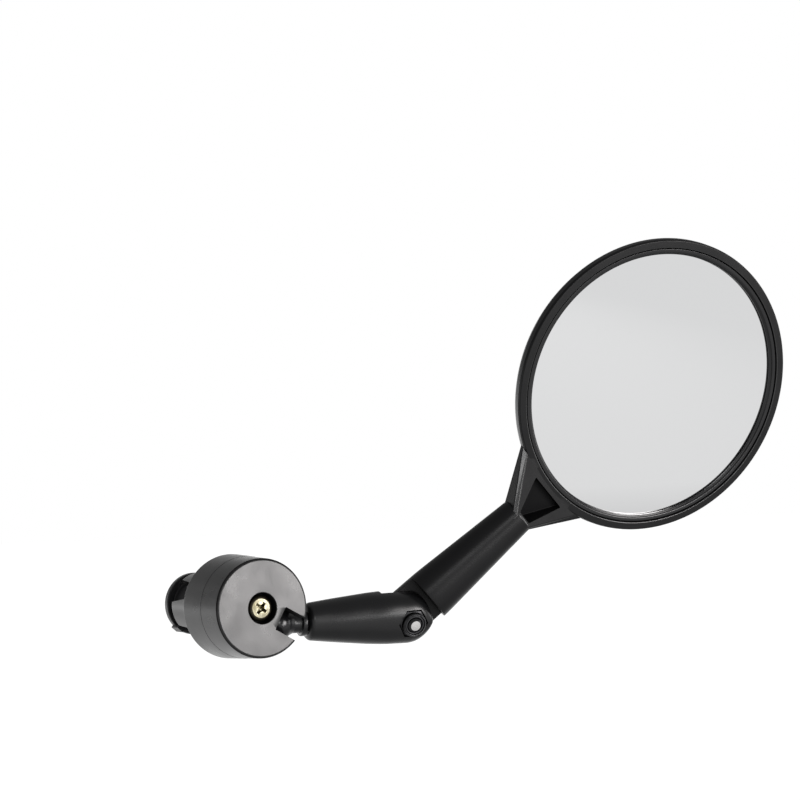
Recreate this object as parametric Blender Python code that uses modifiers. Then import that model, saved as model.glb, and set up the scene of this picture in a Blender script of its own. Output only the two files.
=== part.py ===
"""Bar-end bicycle mirror, built as separate pieces.

The plug of the clamp head lies along +Y and goes into the end of a handlebar. The origin is on
the plug's axis, in the shoulder face that meets the bar's end. The cap faces -Y, the lower arm
leaves the head along +X, and the upper arm carries the mirror up and away. Lengths are metres.

Each assembly is modelled in a frame of its own, an empty:
  clamp_axis    z is the plug's axis, from the cap towards the bar
  stud_axis     origin at the ball's centre, x along the lower arm, z towards the mirror's face
  knuckle_axis  origin on the hinge bolt, x along the upper arm, z along the bolt
"""
import math

import bmesh
import bpy
from mathutils import Matrix, Vector

MM = 0.001
GAP = 0.3 * MM                      # clearance between pieces that touch
MERGE = 0.00001

# Clamp head
BASE_R = 14.0 * MM                  # at the shoulder
SEAM_R = 13.45 * MM                 # where the cap meets the base
FACE_R = 12.2 * MM                  # flat of the cap's face
CAP_R = 13.0 * MM                   # cap's side, just before the face's rounded edge
SEAM_Z = -10.2 * MM
FACE_Z = -19.5 * MM
SLEEVE_R = 8.85 * MM
SLEEVE_BORE_R = 5.6 * MM
SLEEVE_MOUTH_R = 7.0 * MM
SLEEVE_Z = 20.1 * MM
SCREW_BORE_R = 2.35 * MM
SLOT_COUNT = 4
SLOT_ROOT_Z = 1.4 * MM
SLOT_ROOT_WIDTH = 2.8 * MM
SLOT_TIP_WIDTH = 7.0 * MM
NOTCH_ANGLE = 29.0                  # degrees about clamp_axis z, from the arm's direction
NOTCH_WIDTH = 6.6 * MM
NOTCH_START = 5.9 * MM              # from the clamp's axis

# Ball joint
BALL_R = 4.5 * MM
SOCKET_R = BALL_R + GAP
SOCKET_BULGE_R = 5.9 * MM
BALL_RADIUS_FROM_AXIS = 9.8 * MM
NECK_R = 2.9 * MM
COLLAR_R = 3.8 * MM
COLLAR_START = 6.2 * MM
COLLAR_END = 7.6 * MM
SHANK_R = 2.4 * MM
SHANK_END = 17.0 * MM
SWING_LIMIT = 35.0                  # degrees either side of the notch
ARM_TILT = 6.9                      # degrees from the seam's plane towards the cap
ARM_SPIN = 19.4                     # degrees about the stud's own axis

# Clamp screw and wedge
SCREW_HEAD_R = 3.5 * MM
SCREW_HEAD_Z = -18.8 * MM
SCREW_HEAD_H = 2.6 * MM
SCREW_R = 1.95 * MM
SCREW_END_Z = 32.2 * MM
RECESS_R = 4.05 * MM
WEDGE_Z = 25.7 * MM                 # outer face of the wedge's disc
WEDGE_DISC_R = 8.6 * MM
WEDGE_DISC_H = 2.2 * MM
WEDGE_CONE_R = 6.5 * MM
WEDGE_TIP_R = 4.9 * MM
WEDGE_CONE_H = 10.0 * MM
KEY_ANGLE = NOTCH_ANGLE + 90.0 + 12.0
KEY_WIDTH = 2.0 * MM
KEY_R = 9.2 * MM
KEY_LENGTH = 4.7 * MM
NUT_AF = 7.0 * MM
NUT_H = 3.2 * MM
NUT_Z = WEDGE_Z - 4.6 * MM

# Arms and knuckle
ARM_START = 8.0 * MM
ARM_LENGTH = 37.3 * MM              # ball's centre to hinge
LUG_R = 7.2 * MM
LUG_REACH = 6.3 * MM                # round end, past the hinge
ARM_HALF_T = 6.0 * MM
SHOULDER = 8.0 * MM                 # from the hinge to each lap's step
KNUCKLE_ANGLE = 42.65
ARM_POWER = 2.3                     # superellipse power of the arms' section
BOLT_R = 1.95 * MM
BOLT_BORE_R = 2.3 * MM
LOCK_NUT_Z = 2.5 * MM
LOCK_NUT_H = 4.4 * MM
BOLT_HEAD_R = 3.6 * MM
BOLT_HEAD_Z = -4.0 * MM
BOLT_HEAD_H = 2.6 * MM
BOLT_END_Z = 7.3 * MM
UPPER_END = 42.0 * MM
UPPER_END_HALF_W = 5.1 * MM
UPPER_END_HALF_T = 4.4 * MM

# Mirror head
MIRROR_X = 94.8 * MM                # from the hinge to the mirror's centre
RIM_R = 42.3 * MM
RIM_Z = -1.3 * MM                   # front of the rim, from the arm's middle
RIM_INNER_R = 39.9 * MM
RING_R = 39.6 * MM
GLASS_VISIBLE_R = 38.0 * MM
GLASS_R = 39.4 * MM
GLASS_CURVE = 600.0 * MM
GLASS_T = 2.0 * MM
GLASS_EDGE_DEPTH = 1.75 * MM        # below the rim's front
LEDGE_DEPTH = 4.1 * MM
LEDGE_R = 37.0 * MM
FLOOR_DEPTH = 5.7 * MM
PAD_R = 34.0 * MM
BACK_DEPTH = 8.6 * MM
GUSSET_START = 41.0 * MM            # inside the arm's end
GUSSET_END = 56.0 * MM              # inside the rim, before it is trimmed
POCKET_START = 42.2 * MM
POCKET_FAR = 52.5 * MM
POCKET_FLOOR_Z = -2.7 * MM

PIECES = "bike_mirror"
CUTTERS = "cutters"


def clear_scene():
    for item in list(bpy.data.objects):
        bpy.data.objects.remove(item, do_unlink=True)


def collection(name):
    found = bpy.data.collections.new(name)
    bpy.context.scene.collection.children.link(found)
    return found


def material(name, color, roughness, metallic=0.0):
    made = bpy.data.materials.new(name)
    made.use_nodes = True
    shader = made.node_tree.nodes["Principled BSDF"]
    shader.inputs["Base Color"].default_value = (*color, 1.0)
    shader.inputs["Roughness"].default_value = roughness
    shader.inputs["Metallic"].default_value = metallic
    return made


def empty(name, parent, location, angles):
    made = bpy.data.objects.new(name, None)
    made.location = location
    made.rotation_euler = [math.radians(angle) for angle in angles]
    made.parent = parent
    bpy.data.collections[PIECES].objects.link(made)
    return made


def add_object(name, mesh, group, parent, look=None):
    made = bpy.data.objects.new(name, mesh)
    made.parent = parent
    bpy.data.collections[group].objects.link(made)
    if look:
        mesh.materials.append(look)
    if group == CUTTERS:
        made.hide_render = True
        made.display_type = "WIRE"
    return made


def smooth(item, angle=35.0):
    item.data.shade_smooth()
    item.data.set_sharp_from_angle(angle=math.radians(angle))


def turned(name, profile, group, parent, look=None, steps=48, closed=False):
    """Turn a profile of (radius, z) points about z; it runs down its outer side."""
    mesh = bpy.data.meshes.new(name)
    last = len(profile) - 1
    edges = [(i, i + 1) for i in range(last)]
    if closed:
        edges.append((last, 0))
    mesh.from_pydata([(r, 0.0, z) for r, z in profile], edges, [])
    made = add_object(name, mesh, group, parent, look)
    screw = made.modifiers.new("turn", "SCREW")
    screw.axis = "Z"
    screw.steps = steps
    screw.render_steps = steps
    screw.use_merge_vertices = True
    screw.merge_threshold = MERGE
    screw.use_smooth_shade = True
    return made


def cylinder(name, radius, z_low, z_high, group, parent, look=None, sides=32, location=(0, 0)):
    mesh = bpy.data.meshes.new(name)
    build = bmesh.new()
    bmesh.ops.create_cone(build, cap_ends=True, segments=sides, radius1=radius, radius2=radius,
                          depth=z_high - z_low)
    bmesh.ops.translate(build, verts=build.verts, vec=(*location, (z_low + z_high) / 2))
    build.to_mesh(mesh)
    build.free()
    return add_object(name, mesh, group, parent, look)


def hexagon(name, across_flats, z_low, z_high, group, parent, look=None):
    corner_r = across_flats / 2 / math.cos(math.pi / 6)
    return cylinder(name, corner_r, z_low, z_high, group, parent, look, sides=6)


def sphere(name, radius, center, group, parent, look=None, segments=32):
    mesh = bpy.data.meshes.new(name)
    build = bmesh.new()
    bmesh.ops.create_uvsphere(build, u_segments=segments, v_segments=segments // 2, radius=radius)
    bmesh.ops.translate(build, verts=build.verts, vec=center)
    build.to_mesh(mesh)
    build.free()
    return add_object(name, mesh, group, parent, look)


def box(name, low, high, group, parent, look=None, turn=0.0):
    """A box between two corners, then turned about the frame's z by some degrees."""
    mesh = bpy.data.meshes.new(name)
    build = bmesh.new()
    bmesh.ops.create_cube(build, size=1.0)
    size = [b - a for a, b in zip(low, high)]
    middle = [(a + b) / 2 for a, b in zip(low, high)]
    bmesh.ops.scale(build, verts=build.verts, vec=size)
    bmesh.ops.translate(build, verts=build.verts, vec=middle)
    bmesh.ops.rotate(build, verts=build.verts, matrix=Matrix.Rotation(math.radians(turn), 3, "Z"))
    build.to_mesh(mesh)
    build.free()
    return add_object(name, mesh, group, parent, look)


def plate(name, outline, z_low, z_high, group, parent, look=None):
    """A flat outline of (x, y) points with a thickness along z, as a welded mesh."""
    curve = bpy.data.curves.new(name, "CURVE")
    curve.dimensions = "2D"
    curve.fill_mode = "BOTH"
    curve.extrude = (z_high - z_low) / 2
    line = curve.splines.new("POLY")
    line.points.add(len(outline) - 1)
    for point, (x, y) in zip(line.points, outline):
        point.co = (x, y, 0.0, 1.0)
    line.use_cyclic_u = True
    guide = bpy.data.objects.new(name + "_outline", curve)
    bpy.context.scene.collection.objects.link(guide)
    bpy.context.view_layer.update()
    mesh = bpy.data.meshes.new_from_object(guide.evaluated_get(bpy.context.evaluated_depsgraph_get()))
    bpy.data.objects.remove(guide, do_unlink=True)
    build = bmesh.new()
    build.from_mesh(mesh)
    bmesh.ops.remove_doubles(build, verts=build.verts, dist=MERGE)
    bmesh.ops.translate(build, verts=build.verts, vec=(0, 0, (z_low + z_high) / 2))
    bmesh.ops.recalc_face_normals(build, faces=build.faces)
    build.to_mesh(mesh)
    build.free()
    mesh.materials.clear()
    return add_object(name, mesh, group, parent, look)


def superellipse(half_w, half_t, power, sides):
    """Points (y, z) round a section that is between an ellipse and a rounded box."""
    points = []
    for i in range(sides):
        angle = 2 * math.pi * i / sides
        y = math.copysign(abs(math.cos(angle)) ** (2 / power), math.cos(angle)) * half_w
        z = math.copysign(abs(math.sin(angle)) ** (2 / power), math.sin(angle)) * half_t
        points.append((y, z))
    return points


def loft(name, stations, group, parent, look=None, sides=32):
    """Skin sections (x, half_width, half_thickness) that lie across the frame's x axis."""
    mesh = bpy.data.meshes.new(name)
    build = bmesh.new()
    rings = []
    for x, half_w, half_t in stations:
        section = superellipse(half_w, half_t, ARM_POWER, sides)
        rings.append([build.verts.new((x, y, z)) for y, z in section])
    for first, second in zip(rings, rings[1:]):
        for i in range(sides):
            j = (i + 1) % sides
            build.faces.new((first[i], first[j], second[j], second[i]))
    build.faces.new(list(reversed(rings[0])))
    build.faces.new(rings[-1])
    bmesh.ops.recalc_face_normals(build, faces=build.faces)
    build.to_mesh(mesh)
    build.free()
    return add_object(name, mesh, group, parent, look)


def boolean(item, tool, operation="DIFFERENCE"):
    step = item.modifiers.new(operation.lower() + "_" + tool.name, "BOOLEAN")
    step.operation = operation
    step.object = tool
    step.solver = "EXACT"


def round_end(hinge_x, direction, reach, half_w, half_t, steps=6):
    """Stations that close a lug with a soft round end, from the hinge outwards."""
    made = []
    for i in range(1, steps):
        angle = math.pi / 2 * i / steps
        squeeze = math.cos(angle)
        x = hinge_x + direction * reach * math.sin(angle)
        made.append((x, half_w * squeeze, half_t * (0.72 + 0.28 * squeeze)))
    return made


def socket_center():
    angle = math.radians(NOTCH_ANGLE)
    return Vector((math.cos(angle), math.sin(angle), 0.0)) * BALL_RADIUS_FROM_AXIS + Vector((0, 0, SEAM_Z))


def neck_fan(name, z_low, z_high, parent):
    """Cutter for the space that the stud's neck sweeps as it swings in the seam's plane."""
    center = socket_center()
    reach = 14.0 * MM
    half = NECK_R + GAP
    outline = []
    for side in (-1, 1):
        heading = math.radians(NOTCH_ANGLE + side * SWING_LIMIT)
        along = Vector((math.cos(heading), math.sin(heading)))
        across = Vector((-along.y, along.x)) * side * half
        near = center.xy + across
        far = center.xy + across + along * reach
        outline += [near, far] if side < 0 else [far, near]
    return plate(name, [tuple(p) for p in outline], z_low, z_high, CUTTERS, parent)


def clamp_base(parent, look):
    """Lower half of the head and the slotted sleeve, one moulding."""
    profile = [
        (SLEEVE_R - 0.4 * MM, SLEEVE_Z),
        (SLEEVE_R, SLEEVE_Z - 0.5 * MM),
        (SLEEVE_R, 0.0),
        (BASE_R - 0.3 * MM, 0.0),
        (BASE_R, -0.3 * MM),
        (SEAM_R + 0.1 * MM, SEAM_Z + GAP / 2 + 0.2 * MM),
        (SEAM_R - 0.1 * MM, SEAM_Z + GAP / 2),
        (SCREW_BORE_R, SEAM_Z + GAP / 2),
        (SCREW_BORE_R, -1.5 * MM),
        (SLEEVE_BORE_R, -0.5 * MM),
        (SLEEVE_BORE_R, 11.0 * MM),
        (SLEEVE_MOUTH_R, SLEEVE_Z),
    ]
    base = turned("clamp_base", profile, PIECES, parent, look, steps=64, closed=True)
    center = socket_center()
    bulge = sphere("base_bulge", SOCKET_BULGE_R, center, CUTTERS, parent)
    trim = cylinder("base_bulge_trim", 9.0 * MM, SEAM_Z - 9.0 * MM, SEAM_Z + GAP / 2, CUTTERS, parent,
                    location=tuple(center.xy))
    boolean(bulge, trim)
    boolean(base, bulge, "UNION")
    boolean(base, sphere("base_socket", SOCKET_R, center, CUTTERS, parent))
    boolean(base, neck_fan("base_fan", SEAM_Z - 1.0 * MM, SEAM_Z + NECK_R + 2 * GAP, parent))
    for i in range(SLOT_COUNT):
        boolean(base, sleeve_slot(i, parent))
    return base


def sleeve_slot(index, parent):
    """V-shaped slot with a round root, cut outwards through one side of the sleeve."""
    half_root = SLOT_ROOT_WIDTH / 2
    outline = [(SLEEVE_Z + 1.0 * MM, SLOT_TIP_WIDTH / 2), (SLEEVE_Z + 1.0 * MM, -SLOT_TIP_WIDTH / 2)]
    for step in range(7):
        angle = math.pi / 6 * step
        outline.append((SLOT_ROOT_Z + half_root * (1 - math.sin(angle)), -half_root * math.cos(angle)))
    slot = plate(f"slot_{index}", outline, 3.0 * MM, SLEEVE_R + 2.0 * MM, CUTTERS, parent)
    stood = Matrix(((0, 0, 1), (0, -1, 0), (1, 0, 0)))
    turn = Matrix.Rotation(math.radians(NOTCH_ANGLE + 180 + 90 * index), 3, "Z")
    slot.matrix_local = (turn @ stood).to_4x4()
    return slot


def clamp_cap(parent, look):
    """Outer half of the head, with the screw's recess and the notch that the stud folds into."""
    edge_r = CAP_R - FACE_R
    profile = [(SCREW_BORE_R, SEAM_Z - GAP / 2), (SEAM_R - 0.25 * MM, SEAM_Z - GAP / 2),
               (SEAM_R - 0.1 * MM, SEAM_Z - GAP / 2 - 0.2 * MM)]
    for step in range(6):
        angle = math.pi / 10 * step
        profile.append((FACE_R + edge_r * math.cos(angle), FACE_Z + edge_r * (1 - math.sin(angle))))
    floor_z = SCREW_HEAD_Z + SCREW_HEAD_H + GAP
    profile += [(RECESS_R, FACE_Z), (RECESS_R, floor_z), (SCREW_BORE_R, floor_z)]
    cap = turned("clamp_cap", profile, PIECES, parent, look, steps=64, closed=True)
    boolean(cap, sphere("cap_socket", SOCKET_R, socket_center(), CUTTERS, parent))
    boolean(cap, neck_fan("cap_fan", SEAM_Z - NECK_R - 1.4 * MM, SEAM_Z + 1.0 * MM, parent))
    notch = box("cap_notch", (NOTCH_START, -NOTCH_WIDTH / 2, FACE_Z - 2 * MM),
                (BASE_R + 4 * MM, NOTCH_WIDTH / 2, SEAM_Z + 1 * MM), CUTTERS, parent, turn=NOTCH_ANGLE)
    boolean(cap, notch)
    return cap


def clamp_screw(parent, look):
    """M4 pan-head machine screw that pulls the wedge into the sleeve."""
    top = SCREW_HEAD_Z
    under = SCREW_HEAD_Z + SCREW_HEAD_H
    profile = [(0.0, SCREW_END_Z), (SCREW_R - 0.4 * MM, SCREW_END_Z), (SCREW_R, SCREW_END_Z - 0.5 * MM),
               (SCREW_R, under), (SCREW_HEAD_R - 0.1 * MM, under), (SCREW_HEAD_R, under - 0.3 * MM),
               (SCREW_HEAD_R, under - 1.2 * MM)]
    for step in range(1, 6):
        angle = math.pi / 10 * step
        profile.append((2.2 * MM + 1.3 * MM * math.cos(angle), under - 1.2 * MM - 1.4 * MM * math.sin(angle)))
    profile.append((0.0, top))
    screw = turned("clamp_screw", profile, PIECES, parent, look, steps=32)
    for turn in (45.0, 135.0):
        boolean(screw, box(f"screw_cross_{turn:.0f}", (-1.9 * MM, -0.4 * MM, top - 1 * MM),
                           (1.9 * MM, 0.4 * MM, top + 1.3 * MM), CUTTERS, parent, turn=turn))
    return screw


def expander_wedge(parent, look):
    """Disc with a cone that spreads the sleeve, two keys and a pocket for the nut."""
    inner = WEDGE_Z - WEDGE_DISC_H
    profile = [(2.3 * MM, WEDGE_Z), (WEDGE_DISC_R - 0.5 * MM, WEDGE_Z), (WEDGE_DISC_R, WEDGE_Z - 0.5 * MM),
               (WEDGE_DISC_R, inner + 0.3 * MM), (WEDGE_DISC_R - 0.3 * MM, inner), (WEDGE_CONE_R, inner),
               (WEDGE_TIP_R, inner - WEDGE_CONE_H), (2.3 * MM, inner - WEDGE_CONE_H)]
    wedge = turned("expander_wedge", profile, PIECES, parent, look, steps=48, closed=True)
    for index in range(2):
        key = box(f"wedge_key_{index}", (5.0 * MM, -KEY_WIDTH / 2, WEDGE_Z - KEY_LENGTH),
                  (KEY_R, KEY_WIDTH / 2, WEDGE_Z - 0.3 * MM), CUTTERS, parent, turn=KEY_ANGLE + 180 * index)
        boolean(wedge, key, "UNION")
    boolean(wedge, hexagon("wedge_nut_pocket", NUT_AF + 2 * GAP, NUT_Z - GAP, WEDGE_Z + 1 * MM, CUTTERS, parent))
    return wedge


def nut(name, across_flats, z_low, height, bore_r, parent, look):
    """Hexagon nut with its corners chamfered at both faces."""
    made = hexagon(name, across_flats, z_low, z_low + height, PIECES, parent, look)
    corner = across_flats / 2 / math.cos(math.pi / 6)
    z_high = z_low + height
    chamfer = turned(name + "_envelope", [
        (0.0, z_high), (across_flats / 2 - 0.05 * MM, z_high), (corner + 0.05 * MM, z_high - 0.35 * MM),
        (corner + 0.05 * MM, z_low + 0.35 * MM), (across_flats / 2 - 0.05 * MM, z_low), (0.0, z_low)],
        CUTTERS, parent, steps=48)
    boolean(made, chamfer, "INTERSECT")
    boolean(made, cylinder(name + "_bore", bore_r, z_low - 1 * MM, z_high + 1 * MM, CUTTERS, parent, sides=24))
    return made


def ball_stud(parent, look):
    """Ball, neck, collar and the shank that the lower arm turns on; turned, then laid along x."""
    profile = []
    for step in range(13):
        angle = math.pi * step / 12
        radius = BALL_R * math.sin(angle)
        along = -BALL_R * math.cos(angle)
        if along > 0 and radius < NECK_R:
            break
        profile.append((radius, along))
    profile += [(NECK_R, math.sqrt(BALL_R ** 2 - NECK_R ** 2)), (NECK_R, COLLAR_START),
                (COLLAR_R - 0.3 * MM, COLLAR_START), (COLLAR_R, COLLAR_START + 0.3 * MM),
                (COLLAR_R, COLLAR_END - 0.3 * MM), (COLLAR_R - 0.3 * MM, COLLAR_END),
                (SHANK_R, COLLAR_END), (SHANK_R, SHANK_END - 0.4 * MM), (SHANK_R - 0.4 * MM, SHANK_END),
                (0.0, SHANK_END)]
    stud = turned("ball_stud", list(reversed(profile)), PIECES, parent, look, steps=32)
    stud.rotation_euler = (0.0, math.pi / 2, 0.0)
    return stud


def lower_arm(parent, look):
    """From the stud's collar to the hinge; the lap at its end is on the mirror's side."""
    hinge = ARM_LENGTH
    stations = [(ARM_START, 4.3 * MM, 4.0 * MM), (ARM_START + 0.5 * MM, 4.8 * MM, 4.4 * MM),
                (ARM_START + 1.4 * MM, 5.15 * MM, 4.7 * MM), (hinge - 12 * MM, 6.95 * MM, 5.9 * MM),
                (hinge - 5 * MM, LUG_R, ARM_HALF_T), (hinge, LUG_R, ARM_HALF_T)]
    stations += round_end(hinge, 1, LUG_REACH, LUG_R, ARM_HALF_T)
    arm = loft("lower_arm", stations, PIECES, parent, look)
    lap = box("lower_lap", (hinge - SHOULDER, -10 * MM, -10 * MM), (hinge + 10 * MM, 10 * MM, GAP / 2),
              CUTTERS, parent)
    boolean(arm, lap)
    bore = cylinder("lower_shank_bore", SHANK_R + GAP, ARM_START - 1 * MM, SHANK_END + 0.8 * MM, CUTTERS, parent)
    bore.rotation_euler = (0.0, math.pi / 2, 0.0)
    boolean(arm, bore)
    boolean(arm, cylinder("lower_bolt_bore", BOLT_BORE_R, -1 * MM, 8 * MM, CUTTERS, parent,
                          location=(hinge, 0)))
    pocket = hexagon("lower_nut_pocket", NUT_AF + 2 * GAP, LOCK_NUT_Z - GAP, 9 * MM, CUTTERS, parent)
    pocket.location.x = hinge
    boolean(arm, pocket)
    return arm


def knuckle_bolt(parent, look):
    """Pan-head bolt from the far side of the knuckle to the lock nut."""
    head_top = BOLT_HEAD_Z
    profile = [(0.0, BOLT_END_Z), (BOLT_R - 0.4 * MM, BOLT_END_Z), (BOLT_R, BOLT_END_Z - 0.4 * MM),
               (BOLT_R, head_top), (BOLT_HEAD_R, head_top), (BOLT_HEAD_R, head_top - 1.4 * MM),
               (BOLT_HEAD_R - 0.6 * MM, head_top - BOLT_HEAD_H + 0.3 * MM),
               (BOLT_HEAD_R - 1.4 * MM, head_top - BOLT_HEAD_H), (0.0, head_top - BOLT_HEAD_H)]
    return turned("knuckle_bolt", profile, PIECES, parent, look, steps=32)


def knuckle_nut(parent, look):
    """Lock nut: a hexagon with a seat for its nylon ring."""
    made = nut("knuckle_nut", NUT_AF, LOCK_NUT_Z, LOCK_NUT_H, BOLT_R + GAP, parent, look)
    seat = cylinder("knuckle_ring_seat", 3.0 * MM, LOCK_NUT_Z + 2.9 * MM, LOCK_NUT_Z + 9 * MM, CUTTERS, parent)
    boolean(made, seat)
    return made


def knuckle_nut_ring(parent, look):
    """Nylon ring of the lock nut."""
    low = LOCK_NUT_Z + 2.9 * MM + GAP
    high = LOCK_NUT_Z + LOCK_NUT_H - 0.1 * MM
    inner = BOLT_R + GAP
    outer = 3.0 * MM - GAP
    profile = [(inner, high), (outer - 0.1 * MM, high), (outer, high - 0.1 * MM), (outer, low), (inner, low)]
    return turned("knuckle_nut_ring", profile, PIECES, parent, look, steps=32, closed=True)


def glass_height(radius, depth=0.0):
    """Height of the convex glass, from the rim's front, at a distance from its centre."""
    edge = GLASS_R ** 2 / (2 * GLASS_CURVE)
    return -GLASS_EDGE_DEPTH + edge - radius ** 2 / (2 * GLASS_CURVE) - depth


def radii(outermost, steps):
    return [outermost * i / steps for i in range(steps + 1)]


def dish(parent):
    """Round back shell of the mirror, turned about its own centre."""
    profile = [(0.0, -FLOOR_DEPTH), (LEDGE_R, -FLOOR_DEPTH), (LEDGE_R, -LEDGE_DEPTH),
               (RIM_INNER_R, -LEDGE_DEPTH), (RIM_INNER_R, 0.0), (RIM_R - 0.5 * MM, 0.0),
               (RIM_R - 0.15 * MM, -0.15 * MM), (RIM_R, -0.5 * MM), (RIM_R, -2.6 * MM)]
    shoulder_r = 5.0 * MM
    for step in range(1, 7):
        angle = math.pi / 12 * step
        profile.append((RIM_R - shoulder_r * (1 - math.cos(angle)), -2.6 * MM - 4.6 * MM * math.sin(angle)))
    dome_r = RIM_R - shoulder_r
    for radius in (30 * MM, 20 * MM, 10 * MM, 0.0):
        drop = (BACK_DEPTH - 7.2 * MM) * (1 - (radius / dome_r) ** 2)
        profile.append((radius, -7.2 * MM - drop))
    made = turned("dish", profile, CUTTERS, parent, steps=80)
    made.location = (MIRROR_X, 0.0, RIM_Z)
    return made


def mirror_housing(parent, look):
    """Upper arm, gusset and back shell, one moulding."""
    back = -ARM_HALF_T
    stations = list(reversed(round_end(0.0, -1, LUG_REACH, LUG_R, ARM_HALF_T)))
    stations += [(0.0, LUG_R, ARM_HALF_T), (10 * MM, LUG_R, ARM_HALF_T),
                 (UPPER_END - 1.2 * MM, UPPER_END_HALF_W, UPPER_END_HALF_T),
                 (UPPER_END, UPPER_END_HALF_W - 0.25 * MM, UPPER_END_HALF_T - 0.25 * MM)]
    arm = loft("mirror_housing", stations, PIECES, parent, look)
    boolean(arm, box("upper_lap", (-12 * MM, -10 * MM, -GAP / 2), (SHOULDER, 10 * MM, 10 * MM), CUTTERS, parent))

    web = gusset(parent)
    wall_middle = (RIM_R + RIM_INNER_R) / 2
    boolean(web, cylinder("gusset_end", wall_middle, -20 * MM, 20 * MM, CUTTERS, parent, sides=96,
                          location=(MIRROR_X, 0.0)))
    boolean(arm, web, "UNION")
    boolean(arm, dish(parent), "UNION")
    pocket = plate("gusset_pocket", [(POCKET_START, -2.3 * MM), (POCKET_FAR + 0.2 * MM, -8.0 * MM),
                                     (POCKET_FAR - 0.2 * MM, 4.8 * MM), (POCKET_START, 2.3 * MM)],
                   POCKET_FLOOR_Z, 9 * MM, CUTTERS, parent)
    boolean(arm, pocket)

    bore = cylinder("upper_bolt_bore", BOLT_BORE_R, -9 * MM, 1 * MM, CUTTERS, parent)
    boolean(arm, bore)
    boolean(arm, cylinder("upper_head_recess", BOLT_HEAD_R + 2 * GAP, back - 3 * MM, BOLT_HEAD_Z + GAP,
                          CUTTERS, parent))
    return arm


def gusset(parent):
    """Web that widens from the arm's end to the rim and slopes down to the rim's front."""
    near = [(-2.7, 3.9), (-4.0, 2.9), (-4.1, -2.4), (-2.7, -3.9), (2.7, -3.9), (4.1, -2.4), (4.0, 3.0), (2.75, 3.95)]
    far = [(-14.6, -2.0), (-16.6, -2.6), (-16.6, -3.6), (-15.3, -3.9),
           (13.5, -3.9), (14.8, -3.6), (14.6, -2.9), (12.7, -2.0)]
    mesh = bpy.data.meshes.new("gusset")
    build = bmesh.new()
    first = [build.verts.new((GUSSET_START, y * MM, z * MM)) for y, z in near]
    second = [build.verts.new((GUSSET_END, y * MM, z * MM)) for y, z in far]
    for i in range(len(near)):
        j = (i + 1) % len(near)
        build.faces.new((first[i], first[j], second[j], second[i]))
    build.faces.new(list(reversed(first)))
    build.faces.new(second)
    bmesh.ops.triangulate(build, faces=build.faces)
    bmesh.ops.recalc_face_normals(build, faces=build.faces)
    build.to_mesh(mesh)
    build.free()
    return add_object("gusset", mesh, CUTTERS, parent)


def retaining_ring(parent, look):
    """Ring inside the rim that holds the glass's edge."""
    profile = [(GLASS_VISIBLE_R, -0.35 * MM), (RING_R, -0.35 * MM),
               (RING_R, -GLASS_EDGE_DEPTH + GAP), (GLASS_VISIBLE_R, -GLASS_EDGE_DEPTH + GAP)]
    ring = turned("glass_retaining_ring", profile, PIECES, parent, look, steps=80, closed=True)
    ring.location = (MIRROR_X, 0.0, RIM_Z)
    return ring


def mirror_glass(parent, look):
    """Convex mirror glass."""
    front = [(r, glass_height(r)) for r in radii(GLASS_R, 6)]
    back = [(r, glass_height(r, GLASS_T)) for r in reversed(radii(GLASS_R, 6))]
    glass = turned("mirror_glass", front + back, PIECES, parent, look, steps=80)
    glass.location = (MIRROR_X, 0.0, RIM_Z)
    return glass


def adhesive_pad(parent, look):
    """Foam pad that bonds the glass to the shell."""
    top = [(r, glass_height(r, GLASS_T + GAP)) for r in radii(PAD_R, 4)]
    profile = top + [(PAD_R, -FLOOR_DEPTH + GAP), (0.0, -FLOOR_DEPTH + GAP)]
    pad = turned("glass_foam_pad", profile, PIECES, parent, look, steps=48)
    pad.location = (MIRROR_X, 0.0, RIM_Z)
    return pad


def looks():
    return {
        "plastic": material("black_plastic", (0.016, 0.016, 0.018), 0.32),
        "zinc": material("yellow_zinc", (0.72, 0.58, 0.34), 0.28, 1.0),
        "steel": material("bright_steel", (0.62, 0.61, 0.60), 0.25, 1.0),
        "black_steel": material("black_steel", (0.03, 0.03, 0.03), 0.35, 0.6),
        "nylon": material("nylon", (0.10, 0.10, 0.11), 0.5),
        "foam": material("foam", (0.05, 0.05, 0.05), 0.9),
        "glass": material("mirror_surface", (0.72, 0.73, 0.74), 0.03, 1.0),
    }


def main():
    clear_scene()
    collection(PIECES)
    collection(CUTTERS)
    look = looks()
    clamp_axis = empty("clamp_axis", None, (0, 0, 0), (-90, 0, 0))
    ball_at = Matrix.Rotation(math.radians(-90), 3, "X") @ socket_center()
    stud_axis = empty("stud_axis", None, ball_at, (90 + ARM_SPIN, 0, -ARM_TILT))
    knuckle_axis = empty("knuckle_axis", stud_axis, (ARM_LENGTH, 0, 0), (0, 0, KNUCKLE_ANGLE))
    bolt_axis = empty("bolt_axis", stud_axis, (ARM_LENGTH, 0, 0), (0, 0, 0))

    clamp_base(clamp_axis, look["plastic"])
    clamp_cap(clamp_axis, look["plastic"])
    clamp_screw(clamp_axis, look["zinc"])
    expander_wedge(clamp_axis, look["plastic"])
    nut("wedge_nut", NUT_AF, NUT_Z, NUT_H, SCREW_R + GAP, clamp_axis, look["steel"])
    ball_stud(stud_axis, look["plastic"])
    lower_arm(stud_axis, look["plastic"])
    knuckle_bolt(bolt_axis, look["steel"])
    knuckle_nut(bolt_axis, look["black_steel"])
    knuckle_nut_ring(bolt_axis, look["nylon"])
    mirror_housing(knuckle_axis, look["plastic"])
    retaining_ring(knuckle_axis, look["plastic"])
    mirror_glass(knuckle_axis, look["glass"])
    adhesive_pad(knuckle_axis, look["foam"])
    for item in bpy.data.collections[PIECES].objects:
        if item.type == "MESH" and len(item.data.polygons):
            smooth(item)


main()
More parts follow.
